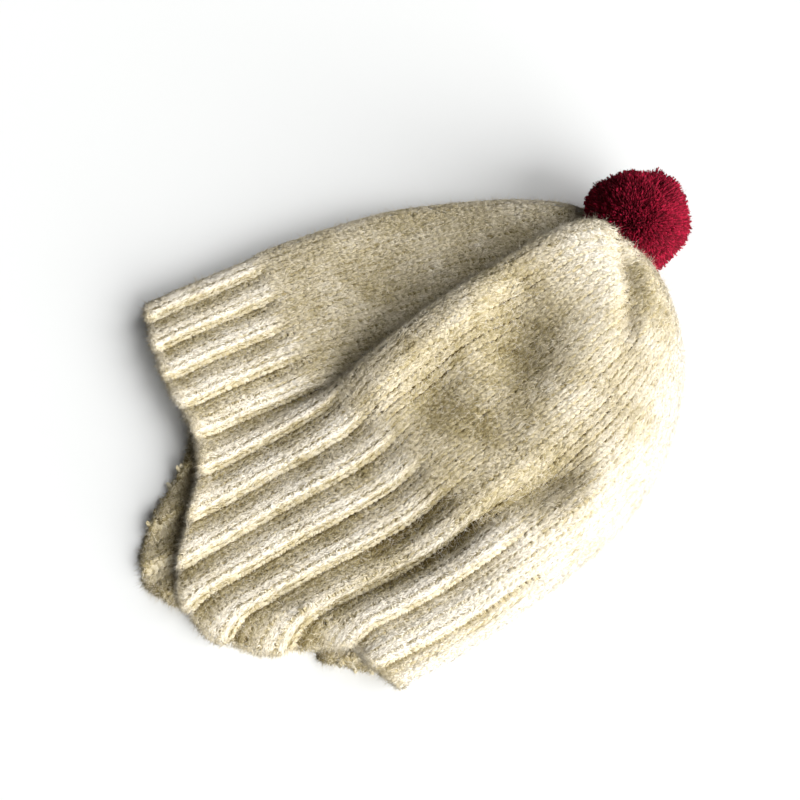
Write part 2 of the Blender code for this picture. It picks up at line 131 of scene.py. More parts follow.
def smooth_rows(rows, at):
    """Rows of a table at fractional row numbers, on a smooth curve through the rows."""
    last = len(rows) - 1
    start = np.clip(np.floor(at).astype(int), 0, last - 1)
    share = (at - start)[:, None]
    before = rows[np.maximum(start - 1, 0)]
    first = rows[start]
    second = rows[start + 1]
    after = rows[np.minimum(start + 2, last)]
    slope = (second - before) * share
    bend = (2 * before - 5 * first + 4 * second - after) * share ** 2
    twist = (3 * first - before - 3 * second + after) * share ** 3
    return first + 0.5 * (slope + bend + twist)


def smooth_value(table, at):
    """The second column of a two-column table, read along a smooth curve through its rows."""
    place, value = np.array(table).T
    step = np.diff(place)
    rise = np.diff(value) / step
    middle = (rise[:-1] * step[1:] + rise[1:] * step[:-1]) / (step[1:] + step[:-1])
    tangent = np.concatenate((rise[:1], middle, rise[-1:]))
    row = np.clip(np.searchsorted(place, at, side="right") - 1, 0, len(step) - 1)
    share = (at - place[row]) / step[row]
    return (
        value[row] * (2 * share ** 3 - 3 * share ** 2 + 1)
        + tangent[row] * step[row] * (share ** 3 - 2 * share ** 2 + share)
        + value[row + 1] * (3 * share ** 2 - 2 * share ** 3)
        + tangent[row + 1] * step[row] * (share ** 3 - share ** 2)
    )


def smooth_step(share):
    """0 below 0, 1 above 1, and a smooth rise between."""
    share = np.clip(share, 0, 1)
    return share * share * (3 - 2 * share)


def unit(vectors):
    """Vectors at length 1."""
    return vectors / np.maximum(np.linalg.norm(vectors, axis=-1, keepdims=True), 1e-12)


def along_curve(points):
    """The length along a curve from its first point to each of its points."""
    return np.append(0, np.cumsum(np.linalg.norm(np.diff(points, axis=0), axis=1)))


def section_ring(row, count):
    """One closed section of the lying hat: half of its points above, half below."""
    along, front, back, under, plateau, valley_at, valley, crest_at, crest, face, shoulder = row
    width, flat = front - back, front - valley_at
    rise, fall = plateau - under, shoulder - under
    cage = np.array((
        (front + 0.125 * rise, (plateau + under) / 2),
        (front - 0.250 * rise, plateau),
        (front - 0.50 * flat, plateau + 0.01 * flat),
        (front - 0.90 * flat, plateau),
        (valley_at, valley),
        (0.45 * valley_at + 0.55 * crest_at, 0.45 * valley + 0.55 * crest),
        (crest_at, crest),
        (crest_at - 0.110 * width, (crest + face) / 2 + 0.005 * width),
        ((crest_at + back) / 2, face),
        (back + 0.150 * width, shoulder + 0.0075 * width),
        (back + 0.240 * fall, 0.82 * shoulder + 0.18 * under),
        (back - 0.125 * fall, 0.38 * shoulder + 0.62 * under),
        (back + 0.220 * fall, under),
        (back + 0.130 * width, under),
        ((front + back) / 2, under),
        (front - 0.130 * width, under),
        (front - 0.250 * rise, under),
    ))
    points = []
    for first, last in ((0, 11), (11, 17)):
        at = np.linspace(first, last, 6 * count)
        start = np.floor(at).astype(int)
        share = (at - start)[:, None]
        curve = ((1 - share) ** 3 * cage[(start - 1) % 17]
                 + (3 * share ** 3 - 6 * share ** 2 + 4) * cage[start % 17]
                 + (1 + 3 * share + 3 * share ** 2 - 3 * share ** 3) * cage[(start + 1) % 17]
                 + share ** 3 * cage[(start + 2) % 17]) / 6
        length = along_curve(curve)
        even = np.linspace(0, length[-1], count // 2 + 1)[:-1]
        points.append(np.column_stack([np.interp(even, length, curve[:, k]) for k in (0, 1)]))
    return np.column_stack((np.full(count, along), np.vstack(points)))


def outward(grid):
    """Outward unit normals of a grid of rows by columns that closes on itself."""
    across = np.roll(grid, -1, axis=1) - np.roll(grid, 1, axis=1)
    normal = np.cross(across, np.gradient(grid, axis=0))
    normal[-1] = (1.0, 0.0, 0.0)
    return unit(normal)


def across_share(wale):
    """Where a wale lies across its own layer: 0 at the front fold, 1 at the back fold."""
    half = WALES / 2
    return np.where(wale <= half, wale, 2 * half - wale) / half


def upper_layer(wale):
    """Whether a wale lies in the hat's upper layer."""
    return np.mod(wale, WALES) <= WALES / 2


def lay_cloth():
    """The fabric's middle as it lies on the table, as a grid of rows by columns of points.

    With it its outward normals, the painted light and shade of the dents, its edge and the ribs'
    end."""
    rows = np.array(SECTIONS)
    rows[:, 0] *= np.where(rows[:, 0] < 0, FLAP_LENGTH, CROWN_LENGTH)
    rows[:, [1, 2, 5, 7]] *= HALF_WIDTH
    heights = [4, 6, 8, 9, 10]
    scale = np.where(rows[:, heights] < 0, VALLEY_DROP, HEAP_HEIGHT - LAYER_HEIGHT)
    rows[:, heights] = LAYER_HEIGHT + rows[:, heights] * scale
    rows[:, 3] = WALL / 2 + rows[:, 3] * HEAP_HEIGHT
    last = len(SECTIONS) - 1
    rows = smooth_rows(rows, np.linspace(0, last, 12 * last + 1))
    rows[:, 3] = np.maximum(rows[:, 3], WALL / 2)
    wale = np.arange(COLUMNS) / PER_WALE
    grid = np.array([section_ring(row, COLUMNS) for row in rows])
    upper = upper_layer(wale)
    press, dent_painted_light = np.zeros(grid.shape[:2]), np.zeros(grid.shape[:2])
    for along, across, length, width, turn, depth, painted_light in DENTS:
        angle = math.radians(turn)
        x = grid[:, :, 0] - along * CROWN_LENGTH
        y = grid[:, :, 1] - across * HALF_WIDTH
        long_way = (x * math.cos(angle) + y * math.sin(angle)) / (length * HALF_WIDTH)
        short_way = (y * math.cos(angle) - x * math.sin(angle)) / (width * HALF_WIDTH)
        share = np.exp(-long_way ** 2 - short_way ** 2) * upper
        press += depth * HEAP_HEIGHT * share
        dent_painted_light += painted_light * share
    y, z = (grid[:, :, k] - grid[-1, 0, k] for k in (1, 2))
    away = np.hypot(y, z) / (0.5 * POMPOM_RADIUS)
    near_end = smooth_step((grid[:, :, 0] / CROWN_LENGTH - 0.9) / 0.1)
    pleat = 0.5 - 0.5 * np.cos(PLEATS * np.arctan2(z, y))
    press += PLEAT_DEPTH * pleat * near_end * away * np.exp(1 - away)
    grid = grid - press[:, :, None] * outward(grid)
    share = across_share(wale)
    reach = np.where(upper, smooth_value(UPPER_EDGE, share), smooth_value(LOWER_EDGE, share))
    edge = -FLAP_LENGTH * reach
    to_edge = np.clip((grid[:, :, 0] - edge) / DROOP_REACH, -0.2, 1)
    droop = FLAP_DROOP * np.where(upper, smooth_value(DROOP, share), 0) * (1 - to_edge) ** 2
    grid[:, :, 1] -= 0.6 * droop
    grid[:, :, 2] -= droop
    grid[-1] = grid[-1].mean(axis=0)
    return grid, outward(grid), dent_painted_light, edge, BAND_HEIGHT * smooth_value(RIB_END, share)


# The cloth is read by wale, 0 to 108 round the hat, and by stage: 0 at the edge, 1 where the
# ribs end and 2 at the gathered end.
BAND_STEPS, CROWN_STEPS = 64, 120
cloth_grid, cloth_normal, dent_painted_light, cloth_edge, cloth_rib_end = lay_cloth()
cloth_place = np.empty((BAND_STEPS + CROWN_STEPS + 1, COLUMNS, 3))
cloth_out = np.empty_like(cloth_place)
# The painted light and shade of the dents, read down each column with the cloth.
cloth_painted_light = np.empty(cloth_place.shape[:2])
band_long = np.empty(COLUMNS)
crown_long = np.empty(COLUMNS)
for column in range(COLUMNS):
    line = cloth_grid[:, column]
    length = along_curve(line)
    top = int(np.argmax(line[:, 0])) + 1
    first, seam = np.interp((cloth_edge[column], cloth_rib_end[column]),
                            line[:top, 0], length[:top])
    band_long[column], crown_long[column] = seam - first, length[-1] - seam
    at = np.concatenate((np.linspace(first, seam, BAND_STEPS + 1),
                         np.linspace(seam, length[-1], CROWN_STEPS + 1)[1:]))
    for k in range(3):
        cloth_place[:, column, k] = np.interp(at, length, line[:, k])
        cloth_out[:, column, k] = np.interp(at, length, cloth_normal[:, column, k])
    cloth_painted_light[:, column] = np.interp(at, length, dent_painted_light[:, column])
cloth_place[:, :, 0] -= ORIGIN_X
cloth_out = unit(cloth_out)


def room_along(place, way):
    """How far each point of a grid can move its way before it meets its neighbours on theirs."""
    room = np.full(place.shape[:2], np.inf)
    count = place.shape[1]
    every = slice(None)
    for one, other in (((every, every), (every, np.arange(1, count + 1) % count)),
                       ((slice(1, None), every), (slice(None, -1), every))):
        chord = place[other] - place[one]
        closing = ((way[one] - way[other]) * chord).sum(axis=2)
        meet = (chord ** 2).sum(axis=2) / np.maximum(closing, 1e-9)
        room[one] = np.minimum(room[one], meet)
        room[other] = np.minimum(room[other], meet)
    return room


# A face takes only part of its room, so that the cloth doesn't cross itself in a tight fold.
ROOM_SHARE, ROOM_MOST = 0.6, 0.01
cloth_room_out = np.minimum(ROOM_SHARE * room_along(cloth_place, cloth_out), ROOM_MOST)
cloth_room_in = np.minimum(ROOM_SHARE * room_along(cloth_place, -cloth_out), ROOM_MOST)


def grid_row(stage):
    """The row of the cloth's grid at a stage, with a fraction between rows."""
    return np.where(stage < 1, stage * BAND_STEPS, BAND_STEPS + (stage - 1) * CROWN_STEPS)


def read_cloth(field, wale, stage):
    """A field of the cloth's grid at any wales and stages."""
    down = np.clip(grid_row(stage), 0, BAND_STEPS + CROWN_STEPS - 1e-6)
    row = np.floor(down).astype(int)
    low = down - row
    around = np.mod(wale, WALES) * PER_WALE
    column = np.floor(around).astype(int)
    side = around - column
    column, after = column % COLUMNS, (column + 1) % COLUMNS
    if field.ndim == 3:
        low, side = low[..., None], side[..., None]
    return ((1 - low) * ((1 - side) * field[row, column] + side * field[row, after])
            + low * ((1 - side) * field[row + 1, column] + side * field[row + 1, after]))


# How many wales before its wale the line at a rib's foot lies, and over what length ribs end.
FOOT_OFFSET, RIB_FADE = 0.6, 0.0108


def rib_phase(wale):
    """Where a wale lies across its rib: 0 and 1 are the line at the ribs' foot."""
    return np.mod((wale + FOOT_OFFSET) / RIB_WALES, 1)


def rib_recess(wale, stage):
    """How far the rib pattern lies below its ridges."""
    place_x = read_cloth(cloth_place, wale, stage)[..., 0] + ORIGIN_X
    end = BAND_HEIGHT * smooth_value(RIB_END, across_share(np.mod(wale, WALES)))
    return (RIB_DEPTH * smooth_value(RIB_PROFILE, rib_phase(wale))
            * smooth_step((end - place_x) / RIB_FADE))


def skin(wale, stage, lift, side=1):
    """Points of the knit's outer face (side 1) or inner face (side -1), raised by the lift."""
    recess = rib_recess(wale, stage)
    place = read_cloth(cloth_place, wale, stage)
    out = unit(read_cloth(cloth_out, wale, stage))
    if side > 0:
        away = np.minimum(WALL / 2 - recess, read_cloth(cloth_room_out, wale, stage)) + lift
    else:
        near_end = smooth_step((place[..., 0] + ORIGIN_X) / CROWN_LENGTH * 10 - 9)
        away = np.minimum(WALL / 2 + recess, read_cloth(cloth_room_in, wale, stage))
        away = -(away * (1 - 0.5 * near_end) + lift)
    return place + out * away[..., None]


def frames(wale, stage, lift, side=1):
    """Points on the knit with their directions along the wale, across it and away from it."""
    step = 0.012
    low = np.clip(stage - step, 0, 2)
    high = np.clip(stage + step, 0, 1.9999)
    along = unit(skin(wale, high, lift, side) - skin(wale, low, lift, side))
    across = unit(skin(wale + 0.3, stage, lift, side) - skin(wale - 0.3, stage, lift, side))
    away = unit(np.cross(across, along)) * side
    return skin(wale, stage, lift, side), along, np.cross(along, away), away


def linear(hex_colour):
    """An sRGB hex colour as linear light with full alpha."""
    values = [int(hex_colour[k:k + 2], 16) / 255 for k in (1, 3, 5)]
    return (*[v / 12.92 if v <= 0.04045 else ((v + 0.055) / 1.055) ** 2.4 for v in values], 1)


def node(tree, kind, feeds=(), **settings):
    """Adds a node with its settings, and feeds its sockets with values or other nodes' outputs."""
    made = tree.nodes.new(kind)
    for key, value in settings.items():
        setattr(made, key, value)
    for socket, value in dict(feeds).items():
        if isinstance(value, bpy.types.NodeSocket):
            tree.links.new(value, made.inputs[socket])
        else:
            made.inputs[socket].default_value = value
    return made


# The fibres, some 0.03 mm thick, are drawn as a coarser grain, so that they show.
GRAIN_MM = 0.5


def wool(name, deep, shade, mid, light, roughness, sheen, patch_mm=14, fleck_mm=1.6, nap=False):
    """Wool yarn: four tones mixed by broad patches, by flecks and by each stitch's tone, which on
    the cream wool carries painted light and shade.

    Light passes through a thin nap, so it is shaded mostly as the cloth that it lies on."""
    material = bpy.data.materials.new(name)
    material.use_nodes = True
    tree = material.node_tree
    finish = tree.nodes["Principled BSDF"].inputs
    place = node(tree, "ShaderNodeTexCoord").outputs["Object"]
    patch = node(tree, "ShaderNodeTexNoise",
                 {"Vector": place, "Scale": 1000 / patch_mm, "Detail": 2.0, "Roughness": 0.6})
    fleck = node(tree, "ShaderNodeTexNoise",
                 {"Vector": place, "Scale": 1000 / fleck_mm, "Detail": 3.0, "Roughness": 0.7})
    tone = node(tree, "ShaderNodeAttribute", attribute_name="tone")
    both = node(tree, "ShaderNodeMath", {0: patch.outputs["Fac"], 1: fleck.outputs["Fac"]},
                operation="ADD")
    blend = node(tree, "ShaderNodeMath",
                 {0: tone.outputs["Fac"], 1: 1.0, 2: both.outputs[0]}, operation="MULTIPLY_ADD")
    ramp = node(tree, "ShaderNodeValToRGB", {"Fac": node(
        tree, "ShaderNodeMapRange", {"Value": blend.outputs[0], "From Min": 0.80,
                                     "From Max": 2.05}).outputs[0]})
    stops = ramp.color_ramp.elements
    stops[0].color, stops[1].color = linear(deep), linear(light)
    stops.new(0.28).color = linear(shade)
    stops.new(0.6).color = linear(mid)
    tree.links.new(ramp.outputs["Color"], finish["Base Color"])
    for socket, value in (("Roughness", roughness), ("Specular IOR Level", 0.2),
                          ("Sheen Weight", sheen), ("Sheen Roughness", 0.5),
                          ("Sheen Tint", linear(shade))):
        finish[socket].default_value = value
    grain = node(tree, "ShaderNodeTexNoise",
                 {"Vector": place, "Scale": 1000 / GRAIN_MM, "Detail": 2.0})
    bump = node(tree, "ShaderNodeBump", {"Height": grain.outputs["Fac"], "Strength": 0.5,
                                         "Distance": 0.0003})
    if nap:
        cloth = node(tree, "ShaderNodeAttribute", attribute_name="cloth")
        own = node(tree, "ShaderNodeNewGeometry")
        facing = node(tree, "ShaderNodeMix", {"Factor": 0.4, 4: cloth.outputs["Vector"],
                                              5: own.outputs["Normal"]}, data_type="VECTOR")
        tree.links.new(facing.outputs[1], bump.inputs["Normal"])
    tree.links.new(bump.outputs[0], finish["Normal"])
    return material


# Cream lambswool, carded and brushed: matte and soft, with a lighter nap. Its deep olive tones are
# painted shade where the tone is low, and its dark ground is painted shade between the stitches.
lambswool = wool("brushed_lambswool", "#6A5C3A", "#978A64", "#BDB08C", "#DCD3BA", 0.95, 0.2)
lambswool_nap = wool("lambswool_nap", "#75653A", "#B3A478", "#E2D6BA", "#FBF4E6", 0.9, 0.4,
                     nap=True)
# Painted shade: the dark ground that shows between the stitches.
lambswool_painted_shade = wool("lambswool_painted_shade", "#4E4124", "#5E4F2C", "#716140", "#84744F", 1.0, 0.0)


def bare_tree(name, sizes):
    """An empty geometry tree with its named size inputs, and what they give."""
    tree = bpy.data.node_groups.new(name, "GeometryNodeTree")
    sockets = tree.interface
    sockets.new_socket("Geometry", in_out="INPUT", socket_type="NodeSocketGeometry")
    for size, value in sizes.items():
        made = sockets.new_socket(size, in_out="INPUT", socket_type="NodeSocketFloat")
        made.default_value = value
    sockets.new_socket("Geometry", in_out="OUTPUT", socket_type="NodeSocketGeometry")
    return tree, tree.nodes.new("NodeGroupInput").outputs


def stand_on_points(tree, given, shape, material):
    """Ends a tree: the shape stands on each point, turned and sized by the point's attributes."""
    read = {name: node(tree, "GeometryNodeInputNamedAttribute", {"Name": name},
                       data_type="FLOAT_VECTOR").outputs["Attribute"]
            for name in ("along", "away", "size")}
    turn = node(tree, "FunctionNodeAxesToRotation",
                {"Primary Axis": read["along"], "Secondary Axis": read["away"]},
                primary_axis="X", secondary_axis="Z")
    smooth = node(tree, "GeometryNodeSetShadeSmooth", {"Geometry": shape})
    stood = node(tree, "GeometryNodeInstanceOnPoints", {
        "Points": given["Geometry"], "Instance": smooth.outputs[0],
        "Rotation": turn.outputs[0], "Scale": read["size"]})
    real = node(tree, "GeometryNodeRealizeInstances", {"Geometry": stood.outputs[0]})
    painted = node(tree, "GeometryNodeSetMaterial",
                   {"Geometry": real.outputs[0], "Material": material})
    node(tree, "NodeGroupOutput", {"Geometry": painted.outputs[0]})
    return tree


STITCH_WIDTH, STITCH_HEIGHT, YARN_RADIUS = 0.0037, 0.0027, 0.00105


def yarn_tree(name, legs, radius, sides):
    """A stitch: tapered legs of yarn through four points each, in stitch widths and heights."""
    tree, given = bare_tree(name, {"Stitch height": STITCH_HEIGHT, "Stitch width": STITCH_WIDTH,
                                   "Yarn radius": radius})
    size = node(tree, "ShaderNodeCombineXYZ", {
        0: given["Stitch height"], 1: given["Stitch width"],
        2: given["Yarn radius"]})
    profile = node(tree, "GeometryNodeCurvePrimitiveCircle",
                   {"Resolution": sides, "Radius": given["Yarn radius"]})
    both_legs = node(tree, "GeometryNodeJoinGeometry")
    for leg in legs:
        ends = [node(tree, "ShaderNodeVectorMath", {0: point, 1: size.outputs[0]},
                     operation="MULTIPLY").outputs[0] for point in leg]
        curve = node(tree, "GeometryNodeCurvePrimitiveBezierSegment", {
            "Resolution": 3, "Start": ends[0], "Start Handle": ends[1],
            "End Handle": ends[2], "End": ends[3]}, mode="POSITION")
        place = node(tree, "GeometryNodeSplineParameter")
        wave = node(tree, "ShaderNodeMath",
                    {0: node(tree, "ShaderNodeMath", {0: place.outputs["Factor"], 1: math.pi},
                             operation="MULTIPLY").outputs[0]}, operation="SINE")
        thick = node(tree, "ShaderNodeMath", {0: wave.outputs[0], 1: 0.45, 2: 0.55},
                     operation="MULTIPLY_ADD")
        sized = node(tree, "GeometryNodeSetCurveRadius",
                     {"Curve": curve.outputs[0], "Radius": thick.outputs[0]})
        tube = node(tree, "GeometryNodeCurveToMesh", {
            "Curve": sized.outputs[0], "Profile Curve": profile.outputs[0], "Fill Caps": True})
        tree.links.new(tube.outputs[0], both_legs.inputs[0])
    return stand_on_points(tree, given, both_legs.outputs[0], lambswool)


def fibre_tree(name, material, length, root, tip):
    """A fibre: a slim closed cone of three sides, lying in the direction that it grows."""
    tree, given = bare_tree(name, {"Fibre length": length, "Root radius": root,
                                   "Tip radius": tip})
    cone = node(tree, "GeometryNodeMeshCone", {
        "Vertices": 3, "Radius Top": given["Tip radius"],
        "Radius Bottom": given["Root radius"], "Depth": given["Fibre length"]})
    lying = node(tree, "GeometryNodeTransform", {
        "Geometry": cone.outputs["Mesh"], "Rotation": (0, math.pi / 2, 0)})
    return stand_on_points(tree, given, lying.outputs[0], material)


TABLE_GAP = 0.0004


def rest_on_table(mesh):
    """Yarn and fibres that would reach below the table lie flat on it."""
    place = np.empty(3 * len(mesh.vertices), dtype=np.float32)
    mesh.vertices.foreach_get("co", place)
    place = place.reshape(-1, 3)
    low = place[:, 2] < TABLE_GAP
    place[low, 2] = TABLE_GAP * np.exp(place[low, 2] / TABLE_GAP - 1)
    mesh.vertices.foreach_set("co", place.ravel())


def new_object(name, data):
    """A new object in the scene, from a mesh, a light or a camera."""
    made = bpy.data.objects.new(name, data)
    bpy.context.scene.collection.objects.link(made)
    return made


def from_points(name, tree, place, along, away, size, tone, cloth=None):
    """A finished mesh object from a tree that stands its shape on points."""
    mesh = bpy.data.meshes.new(name)
    mesh.from_pydata(place.tolist(), [], [])
    for key, values in (("along", along), ("away", away), ("size", size), ("cloth", cloth)):
        if values is not None:
            mesh.attributes.new(key, "FLOAT_VECTOR", "POINT").data.foreach_set(
                "vector", np.asarray(values, np.float32).ravel())
    mesh.attributes.new("tone", "FLOAT", "POINT").data.foreach_set(
        "value", np.asarray(tone, np.float32))
    piece = new_object(name, mesh)
    modifier = piece.modifiers.new(name, "NODES")
    modifier.node_group = tree
    bpy.context.view_layer.update()
    depsgraph = bpy.context.evaluated_depsgraph_get()
    finished = bpy.data.meshes.new_from_object(piece.evaluated_get(depsgraph))
    rest_on_table(finished)
    piece.modifiers.remove(modifier)
    piece.data = finished
    for key in ("along", "away", "size"):
        finished.attributes.remove(finished.attributes[key])
    return piece


def wall(name, rings, material):
    """A closed wall from rings of points, each joined to the next and the last to the first."""
    at = np.arange(len(rings) * len(rings[0])).reshape(len(rings), -1)
    after = np.roll(at, -1, axis=0)
    faces = np.stack((at, np.roll(at, -1, axis=1), np.roll(after, -1, axis=1), after), axis=2)
    mesh = bpy.data.meshes.new(name)
    mesh.from_pydata(np.vstack(rings).tolist(), [], faces.reshape(-1, 4).tolist())
    bm = bmesh.new()
    bm.from_mesh(mesh)
    bmesh.ops.remove_doubles(bm, verts=bm.verts, dist=1e-7)
    # At the gathered end, where a ring is one point, an edge can be left without faces.
    for edge in [edge for edge in bm.edges if not edge.link_faces]:
        bm.edges.remove(edge)
    bmesh.ops.recalc_face_normals(bm, faces=bm.faces)
    bm.to_mesh(mesh)
    bm.free()
    mesh.shade_smooth()
    mesh.materials.append(material)
    return new_object(name, mesh)


def belongs(piece, slot_name, *nodes):
    """The piece rides on the hat's one body and stands for the nodes, which are hidden; slot_name
    is not used.
    """
    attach(piece, "root")
    if nodes:
        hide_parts(*nodes)


# How far the ground, dark as painted shade, and the stitches' points lie below the outer and the
# inner face.
GROUND_SINK, STITCH_SINK = -0.0021, -0.0024
INNER_GROUND_SINK, INNER_SINK = -0.0012, -0.0012


def rim_stage(wale):
    """The stage at which the cloth begins to round over to its edge, half its thickness away."""
    long = np.interp(np.mod(wale, WALES), np.arange(COLUMNS + 1) / PER_WALE,
                     np.append(band_long, band_long[0]))
    return WALL / 2 / long


def rim(wale, turn, lift):
    """Points on the rounded edge: turn 0 at the outer face, half a circle later at the inner."""
    stage = rim_stage(wale)
    outer, inner = skin(wale, stage, lift), skin(wale, stage, lift, -1)
    middle, half = (outer + inner) / 2, (outer - inner) / 2
    ahead = unit(skin(wale, stage, 0.0) - skin(wale, stage + 0.05, 0.0)
                 + skin(wale, stage, 0.0, -1) - skin(wale, stage + 0.05, 0.0, -1))
    crest = 1 - rib_recess(wale, stage) / RIB_DEPTH
    reach = np.linalg.norm(half, axis=1) * (0.8 + 0.5 * crest)
    return middle + half * np.cos(turn)[:, None] + ahead * (reach * np.sin(turn))[:, None]


def rim_frames(wale, turn, lift):
    """Points on the rounded edge with their directions round it, along the edge and away."""
    place = rim(wale, turn, lift)
    along = unit(rim(wale, turn - 0.1, lift) - rim(wale, turn + 0.1, lift))
    across = unit(rim(wale + 0.3, turn, lift) - rim(wale - 0.3, turn, lift))
    away = unit(np.cross(across, along))
    return place, along, np.cross(along, away), away


def joined(*groups):
    """Several sets of frames as one set."""
    return tuple(np.concatenate(parts) for parts in zip(*groups))


# The band's ground ends just short of the crown's, and the stitches cover the line.
BAND_TOP, CROWN_FOOT = 0.9985, 1.0005
ring_wales = np.arange(0, WALES, 1 / 3)
ring_first = rim_stage(ring_wales)
band_rings = [skin(ring_wales, ring_first + (BAND_TOP - ring_first) * share, GROUND_SINK)
              for share in np.linspace(0, 1, 42)]
band_rings += [skin(ring_wales, ring_first + (BAND_TOP - ring_first) * share,
                    INNER_GROUND_SINK, -1) for share in np.linspace(1, 0, 42)]
band_rings += [rim(ring_wales, np.full_like(ring_wales, turn), GROUND_SINK)
               for turn in np.linspace(math.pi, 0, 7)[1:-1]]
# The ground's dark colour is painted shade, for the holes between the stitches.
band_ground = wall("band_ground", band_rings, lambswool_painted_shade)
belongs(band_ground, "band_knit", "ribbed_band")

# How much stitches differ in place (metres), in turn (radians) and in size (a share).
dice = np.random.default_rng(11)
UNEVEN_PLACE, UNEVEN_TURN, UNEVEN_SIZE = 0.00012, 0.06, 0.04


def lay_stitches(name, tree, at, width, height, tone):
    """Stitches on their frames, each as wide and as high as its room, none quite alike."""
    place, along, across, away = at
    count = len(place)
    place = place + (along * dice.normal(0, UNEVEN_PLACE, (count, 1))
                     + across * dice.normal(0, UNEVEN_PLACE, (count, 1)))
    along = unit(along + across * dice.normal(0, UNEVEN_TURN, (count, 1)))
    size = np.column_stack((height / STITCH_HEIGHT, width / STITCH_WIDTH, np.ones(count)))
    size *= dice.normal(1, UNEVEN_SIZE, (count, 1))
    return from_points(name, tree, place, along, away, size,
                       0.5 * tone + 0.5 * dice.uniform(0, 1, count))


# A knit stitch shows two legs that spread upwards, and a purl stitch two bumps that lie across.
KNIT_LEGS = [[(-0.20, side * 0.06, -0.7), (0.30, side * 0.12, 0.7), (0.70, side * 0.42, 0.7),
              (1.20, side * 0.28, -0.7)] for side in (-1, 1)]
PURL_LEGS = [[(0.0, -0.58, -0.7), (0.42, -0.25, 0.7), (0.42, 0.25, 0.7), (0.0, 0.58, -0.7)],
             [(0.75, -0.45, -0.7), (0.42, -0.20, 0.5), (0.42, 0.20, 0.5), (0.75, 0.45, -0.7)]]
knit_tree = yarn_tree("knit_stitch", KNIT_LEGS, YARN_RADIUS, 5)
purl_tree = yarn_tree("purl_stitch", PURL_LEGS, YARN_RADIUS * 0.9, 4)

# The crown's tone and the share of the band that fades to it, and the painted light by the back
# fold, where it faces the lamp, with its distance and breadth in wales.
CROWN_TONE, TONE_FADE = 0.52, 0.2
FOLD_PAINTED_LIGHT, FOLD_BEFORE, FOLD_BREADTH = 0.75, 3, 5


def tone_with_painted_light(wale, stage):
    """How light the wool is, with painted light on ridges and painted shade in dents and ribs'
    feet.
    """
    fade = smooth_step((1 - stage) / TONE_FADE)
    from_fold = (np.mod(wale, WALES) - WALES / 2 + FOLD_BEFORE) / FOLD_BREADTH
    return ((1 - fade) * CROWN_TONE + fade * smooth_value(RIB_PAINTED_LIGHT, rib_phase(wale))
            + FOLD_PAINTED_LIGHT * np.exp(-from_fold ** 2) + read_cloth(cloth_painted_light, wale, stage))


# A wale of purl lies in the line between ribs, and three of knit make the ridge. The inner face
# has them the other way round, only as far up as the mouth shows it.
WALE_SHIFT, INNER_SHARE = 0.1, 0.6
band_columns = np.round(np.mod(np.arange(WALES) - WALE_SHIFT, WALES)
                        * PER_WALE).astype(int) % COLUMNS
band_rows = np.maximum(1, np.round(band_long[band_columns] / STITCH_HEIGHT)).astype(int)
for side, face, sink, share in ((1, "outer", STITCH_SINK, 1),
                                (-1, "inner", INNER_SINK, INNER_SHARE)):
    laid = {"knit": [], "purl": []}
    for number in range(WALES):
        kind = "purl" if (number % RIB_WALES == 0) == (side > 0) else "knit"
        rows = band_rows[number]
        for row in range(int(share * rows)):
            laid[kind].append((number - WALE_SHIFT, (row + 0.6) / (rows + 0.4),
                               band_long[band_columns[number]] / rows))
    for kind, tree in (("knit", knit_tree), ("purl", purl_tree)):
        wale, stage, height = np.array(laid[kind]).T
        width = np.linalg.norm(skin(wale + 0.5, stage, 0.0, side)
                               - skin(wale - 0.5, stage, 0.0, side), axis=1)
        stitches = lay_stitches(f"band_{kind}_{face}", tree, frames(wale, stage, sink, side),
                                width, height, tone_with_painted_light(wale, stage))
        belongs(stitches, "band_knit")


def scatter(count, first, last, density, seed):
    """Random wales and stages spread evenly over the cloth's area, weighted by a density."""
    random = np.random.default_rng(seed)
    top, bottom = int(grid_row(first)), int(grid_row(last))
    cells = cloth_place[top:bottom + 1]
    down = cells[1:] - cells[:-1]
    over = np.roll(cells, -1, axis=1)[:-1] - cells[:-1]
    wale_of = (np.arange(COLUMNS) + 0.5) / PER_WALE
    area = np.linalg.norm(np.cross(down, over), axis=2) * density(wale_of)[None, :]
    share = np.cumsum(area.ravel()) / area.sum()
    pick = np.searchsorted(share, random.uniform(0, 1, count))
    row, column = np.unravel_index(np.minimum(pick, area.size - 1), area.shape)
    wale = (column + random.uniform(0, 1, count)) / PER_WALE
    step = top + row + random.uniform(0, 1, count)
    stage = np.where(step < BAND_STEPS, step / BAND_STEPS, 1 + (step - BAND_STEPS) / CROWN_STEPS)
    return wale, stage


def brush(at, seed, slant, spread, rise):
    """Turns frames to lie as brushed fibres do: along the wales, slanting and rising a little."""
    random = np.random.default_rng(seed)
    place, along, across, away = at
    count = len(place)
    swing = (random.choice((-slant, slant), count) + spread * random.normal(0, 1, count)
             + math.pi * random.integers(0, 2, count))
    tilt = np.abs(random.normal(rise[0], rise[1], count))
    flat = along * np.cos(swing)[:, None] + across * np.sin(swing)[:, None]
    ahead = flat * np.cos(tilt)[:, None] + away * np.sin(tilt)[:, None]
    roll = random.uniform(-1.0, 1.0, count)
    return place, ahead, unit(away + np.cross(ahead, away) * roll[:, None]), swing


HOLE_RADIUS = 0.0007


